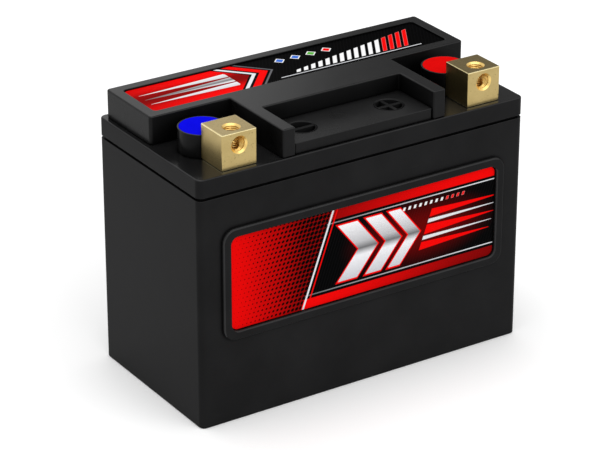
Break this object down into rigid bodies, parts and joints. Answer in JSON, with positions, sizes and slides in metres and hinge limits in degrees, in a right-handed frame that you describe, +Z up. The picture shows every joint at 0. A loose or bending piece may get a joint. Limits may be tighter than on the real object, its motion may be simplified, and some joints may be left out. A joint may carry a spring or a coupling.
{
  "type": "motorcycle battery",
  "caption": "Sealed lead-acid motorcycle battery: partitioned case, lid with raised T-shaped deck, brass terminal blocks with crossed threaded holes and vent plugs that unscrew",
  "frame": {"origin": "middle of the case's underside", "axes": "+X along the long side towards the positive terminal, +Y from the large label to the back, +Z up"},
  "size_m": [0.175, 0.089, 0.139],
  "materials": {
    "case_plastic": "satin black polypropylene",
    "lid_plastic": "semi-gloss black ABS",
    "plug_plastic": "satin black",
    "terminal_brass": "milled and satin",
    "blue_resin": "smooth cast epoxy",
    "red_resin": "smooth cast epoxy",
    "front_label_film": "printed glossy film",
    "top_label_film": "printed glossy film",
    "lead": "dull cast",
    "positive_paste": "matt porous",
    "negative_paste": "matt porous",
    "glass_mat": "felted glass fibre",
    "black_rubber": "matt"
  },
  "bodies": {
    "battery": {"case": "case_plastic", "lid": "lid_plastic", "deck": "lid_plastic", "bay_frame": "lid_plastic", "bay_platform": "lid_plastic", "terminal_pot_negative": "lid_plastic", "terminal_pot_positive": "lid_plastic", "top_label": "top_label_film", "front_label": "front_label_film", "terminal_block_negative": "terminal_brass", "terminal_block_positive": "terminal_brass", "resin_seal_negative": "blue_resin", "resin_seal_positive": "red_resin", "terminal_post_negative": "lead", "terminal_post_positive": "lead", "post_seal_negative": "black_rubber", "post_seal_positive": "black_rubber", "safety_valve_1": "black_rubber", "safety_valve_2": "black_rubber", "safety_valve_3": "black_rubber", "safety_valve_4": "black_rubber", "safety_valve_5": "black_rubber", "safety_valve_6": "black_rubber", "negative_plates_1": "negative_paste", "negative_plates_2": "negative_paste", "negative_plates_3": "negative_paste", "negative_plates_4": "negative_paste", "negative_plates_5": "negative_paste", "negative_plates_6": "negative_paste", "positive_plates_1": "positive_paste", "positive_plates_2": "positive_paste", "positive_plates_3": "positive_paste", "positive_plates_4": "positive_paste", "positive_plates_5": "positive_paste", "positive_plates_6": "positive_paste", "separator_1": "glass_mat", "separator_2": "glass_mat", "separator_3": "glass_mat", "separator_4": "glass_mat", "separator_5": "glass_mat", "separator_6": "glass_mat", "cell_weld_1": "lead", "cell_weld_2": "lead", "cell_weld_3": "lead", "cell_weld_4": "lead", "cell_weld_5": "lead"},
    "left_plug_seal": {"vent_plug_seal_left": "black_rubber"},
    "left_plug": {"vent_plug_left": "plug_plastic"},
    "right_plug_seal": {"vent_plug_seal_right": "black_rubber"},
    "right_plug": {"vent_plug_right": "plug_plastic"}
  },
  "joints": [
    {"name": "left_plug_lift", "type": "slide", "parent": "battery", "child": "left_plug_seal", "axis": [0, 0, 1], "range_m": [0, 0.0071]},
    {"name": "left_plug_turn", "type": "hinge", "parent": "left_plug_seal", "child": "left_plug", "pos_m": [-0.0243, -0.0278, 0.1228], "axis": [0, 0, 1], "range_deg": [0, 1705]},
    {"name": "right_plug_lift", "type": "slide", "parent": "battery", "child": "right_plug_seal", "axis": [0, 0, 1], "range_m": [0, 0.0071]},
    {"name": "right_plug_turn", "type": "hinge", "parent": "right_plug_seal", "child": "right_plug", "pos_m": [0.0228, -0.0278, 0.1228], "axis": [0, 0, 1], "range_deg": [0, 1705]}
  ],
  "couplings": [
    {"joint": "left_plug_turn", "follows": "left_plug_lift", "rad_per_m": 4188.8},
    {"joint": "right_plug_turn", "follows": "right_plug_lift", "rad_per_m": 4188.8}
  ]
}
